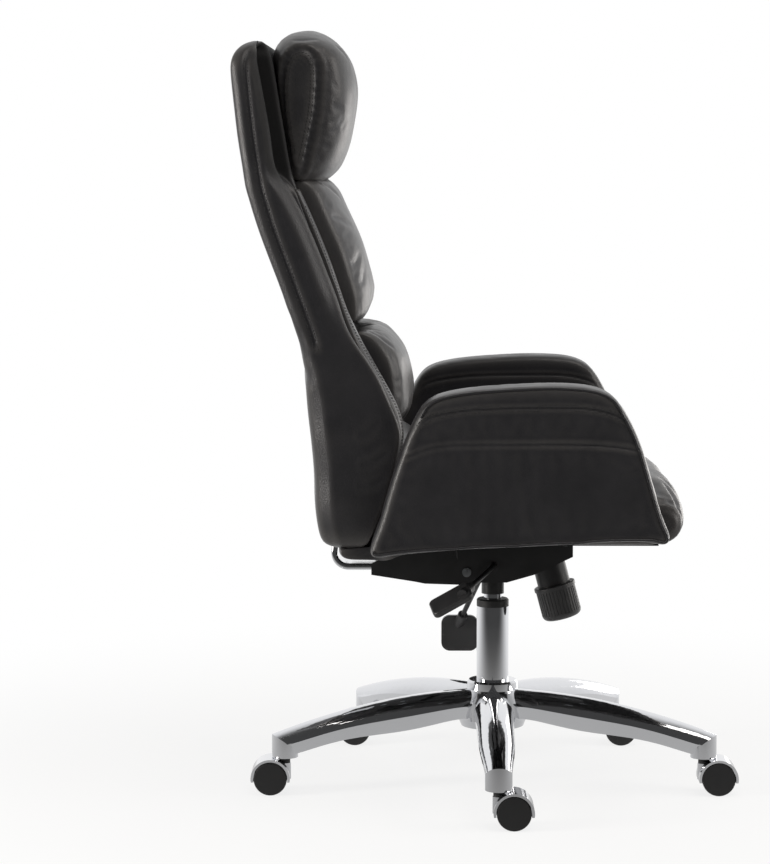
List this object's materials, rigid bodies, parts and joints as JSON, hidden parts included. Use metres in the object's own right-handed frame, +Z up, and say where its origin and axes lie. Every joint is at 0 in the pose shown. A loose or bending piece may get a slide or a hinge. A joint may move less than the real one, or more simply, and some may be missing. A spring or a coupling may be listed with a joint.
{
  "type": "reclining office chair",
  "caption": "High-back padded leather swivel chair on a chrome star base with casters, gas lift, tilting seat, wide arms and a headrest pillow.",
  "frame": {"origin": "on the floor, under the axis of the column", "axes": "+Z up along the column; the chair faces -Y; its right side is -X"},
  "size_m": [0.707, 0.7652, 1.1648],
  "materials": {
    "chrome": "polished",
    "zinc_steel": "satin",
    "black_steel": "satin",
    "black_plastic": "matte",
    "black_leather": "satin",
    "plywood": "matte",
    "spring_steel": "satin"
  },
  "bodies": {
    "base": {"base_star": "chrome", "gas_lift_outer_tube": "chrome", "gas_lift_guide_bush": "black_plastic"},
    "piston": {"gas_lift_piston_rod": "zinc_steel"},
    "mechanism": {"gas_lift_pressure_tube": "zinc_steel", "mechanism_housing": "black_steel", "tilt_pivot_shaft": "zinc_steel", "tension_spring": "spring_steel"},
    "valve": {"gas_valve_pin": "zinc_steel"},
    "tension_pull": {"tension_rod": "zinc_steel"},
    "spring_nut": {"tension_nut": "black_steel"},
    "knob": {"tension_knob": "black_plastic"},
    "lift_lever": {"lift_lever_rod": "black_steel", "lift_lever_grip": "black_plastic"},
    "lock_lever": {"lock_lever_rod": "black_steel", "lock_lever_grip": "black_plastic"},
    "seat": {"seat_plate": "black_steel", "back_support_bar": "chrome", "frame_bolts": "zinc_steel", "seat_board": "plywood", "seat_cushion": "black_leather", "arm_bracket_right": "black_steel", "arm_bracket_left": "black_steel", "arm_panel_right": "black_leather", "arm_panel_left": "black_leather", "arm_top_roll_right": "black_leather", "arm_top_roll_left": "black_leather", "back_board": "plywood", "back_rear_shell": "black_leather", "back_bolster_right": "black_leather", "back_bolster_left": "black_leather", "back_cushion_middle": "black_leather", "back_cushion_lumbar": "black_leather", "back_cushion_lower": "black_leather", "headrest_pillow": "black_leather"},
    "caster_right": {"caster_right_hood": "chrome", "caster_right_stem": "black_plastic", "caster_right_axle": "zinc_steel"},
    "caster_right_wheel_1": {"caster_right_wheel_1": "black_plastic"},
    "caster_right_wheel_2": {"caster_right_wheel_2": "black_plastic"},
    "caster_rear_right": {"caster_rear_right_hood": "chrome", "caster_rear_right_stem": "black_plastic", "caster_rear_right_axle": "zinc_steel"},
    "caster_rear_right_wheel_1": {"caster_rear_right_wheel_1": "black_plastic"},
    "caster_rear_right_wheel_2": {"caster_rear_right_wheel_2": "black_plastic"},
    "caster_rear_left": {"caster_rear_left_hood": "chrome", "caster_rear_left_stem": "black_plastic", "caster_rear_left_axle": "zinc_steel"},
    "caster_rear_left_wheel_1": {"caster_rear_left_wheel_1": "black_plastic"},
    "caster_rear_left_wheel_2": {"caster_rear_left_wheel_2": "black_plastic"},
    "caster_front_left": {"caster_front_left_hood": "chrome", "caster_front_left_stem": "black_plastic", "caster_front_left_axle": "zinc_steel"},
    "caster_front_left_wheel_1": {"caster_front_left_wheel_1": "black_plastic"},
    "caster_front_left_wheel_2": {"caster_front_left_wheel_2": "black_plastic"},
    "caster_front_right": {"caster_front_right_hood": "chrome", "caster_front_right_stem": "black_plastic", "caster_front_right_axle": "zinc_steel"},
    "caster_front_right_wheel_1": {"caster_front_right_wheel_1": "black_plastic"},
    "caster_front_right_wheel_2": {"caster_front_right_wheel_2": "black_plastic"}
  },
  "joints": [
    {"name": "swivel", "type": "hinge", "parent": "base", "child": "piston", "pos_m": [0, 0, 0.2], "axis": [0, 0, 1], "continuous": true},
    {"name": "height", "type": "slide", "parent": "piston", "child": "mechanism", "axis": [0, 0, 1], "range_m": [0, 0.1]},
    {"name": "recline", "type": "hinge", "parent": "mechanism", "child": "seat", "pos_m": [0, 0.042, 0.335], "axis": [-1, 0, 0], "range_deg": [0, 17], "stiffness_Nm_per_rad": 120, "springref_deg": -20.05},
    {"name": "lift_lever_raise", "type": "hinge", "parent": "mechanism", "child": "lift_lever", "pos_m": [-0.0505, 0, 0.345], "axis": [0, 1, 0], "range_deg": [0, 5], "stiffness_Nm_per_rad": 4, "springref_deg": -6.88},
    {"name": "valve_press", "type": "slide", "parent": "mechanism", "child": "valve", "axis": [0, 0, -1], "range_m": [0, 0.005]},
    {"name": "lock_lever_raise", "type": "hinge", "parent": "mechanism", "child": "lock_lever", "pos_m": [0.0505, 0, 0.345], "axis": [0, -1, 0], "range_deg": [0, 12]},
    {"name": "tension_turn", "type": "hinge", "parent": "mechanism", "child": "knob", "pos_m": [0, -0.086, 0.345], "axis": [0, 0.2588, 0.9659], "range_deg": [0, 1446]},
    {"name": "tension_lift", "type": "slide", "parent": "mechanism", "child": "tension_pull", "axis": [0, 0.2588, 0.9659], "range_m": [0, 0.0366], "deforming": ["tension_spring"]},
    {"name": "nut_travel", "type": "slide", "parent": "tension_pull", "child": "spring_nut", "axis": [0, 0.2588, 0.9659], "range_m": [0, 0.006], "deforming": ["tension_spring"]},
    {"name": "caster_right_swivel", "type": "hinge", "parent": "base", "child": "caster_right", "pos_m": [-0.3375, 0, 0.056], "axis": [0, 0, 1], "continuous": true},
    {"name": "caster_right_wheel_1_spin", "type": "hinge", "parent": "caster_right", "child": "caster_right_wheel_1", "pos_m": [-0.3375, -0.022, 0.0255], "axis": [1, 0, 0], "continuous": true},
    {"name": "caster_right_wheel_2_spin", "type": "hinge", "parent": "caster_right", "child": "caster_right_wheel_2", "pos_m": [-0.3375, -0.022, 0.0255], "axis": [1, 0, 0], "continuous": true},
    {"name": "caster_rear_right_swivel", "type": "hinge", "parent": "base", "child": "caster_rear_right", "pos_m": [-0.10429, 0.32098, 0.056], "axis": [0, 0, 1], "continuous": true},
    {"name": "caster_rear_right_wheel_1_spin", "type": "hinge", "parent": "caster_rear_right", "child": "caster_rear_right_wheel_1", "pos_m": [-0.10429, 0.34298, 0.0255], "axis": [1, 0, 0], "continuous": true},
    {"name": "caster_rear_right_wheel_2_spin", "type": "hinge", "parent": "caster_rear_right", "child": "caster_rear_right_wheel_2", "pos_m": [-0.10429, 0.34298, 0.0255], "axis": [1, 0, 0], "continuous": true},
    {"name": "caster_rear_left_swivel", "type": "hinge", "parent": "base", "child": "caster_rear_left", "pos_m": [0.27304, 0.19838, 0.056], "axis": [0, 0, 1], "continuous": true},
    {"name": "caster_rear_left_wheel_1_spin", "type": "hinge", "parent": "caster_rear_left", "child": "caster_rear_left_wheel_1", "pos_m": [0.27304, 0.22038, 0.0255], "axis": [1, 0, 0], "continuous": true},
    {"name": "caster_rear_left_wheel_2_spin", "type": "hinge", "parent": "caster_rear_left", "child": "caster_rear_left_wheel_2", "pos_m": [0.27304, 0.22038, 0.0255], "axis": [1, 0, 0], "continuous": true},
    {"name": "caster_front_left_swivel", "type": "hinge", "parent": "base", "child": "caster_front_left", "pos_m": [0.27304, -0.19838, 0.056], "axis": [0, 0, 1], "continuous": true},
    {"name": "caster_front_left_wheel_1_spin", "type": "hinge", "parent": "caster_front_left", "child": "caster_front_left_wheel_1", "pos_m": [0.27304, -0.22038, 0.0255], "axis": [1, 0, 0], "continuous": true},
    {"name": "caster_front_left_wheel_2_spin", "type": "hinge", "parent": "caster_front_left", "child": "caster_front_left_wheel_2", "pos_m": [0.27304, -0.22038, 0.0255], "axis": [1, 0, 0], "continuous": true},
    {"name": "caster_front_right_swivel", "type": "hinge", "parent": "base", "child": "caster_front_right", "pos_m": [-0.10429, -0.32098, 0.056], "axis": [0, 0, 1], "continuous": true},
    {"name": "caster_front_right_wheel_1_spin", "type": "hinge", "parent": "caster_front_right", "child": "caster_front_right_wheel_1", "pos_m": [-0.10429, -0.34298, 0.0255], "axis": [1, 0, 0], "continuous": true},
    {"name": "caster_front_right_wheel_2_spin", "type": "hinge", "parent": "caster_front_right", "child": "caster_front_right_wheel_2", "pos_m": [-0.10429, -0.34298, 0.0255], "axis": [1, 0, 0], "continuous": true}
  ],
  "couplings": [
    {"joint": "valve_press", "follows": "lift_lever_raise", "m_per_rad": 0.0545},
    {"joint": "tension_lift", "follows": "recline", "m_per_rad": 0.12265},
    {"joint": "tension_turn", "follows": "nut_travel", "rad_per_m": 4188.8}
  ]
}
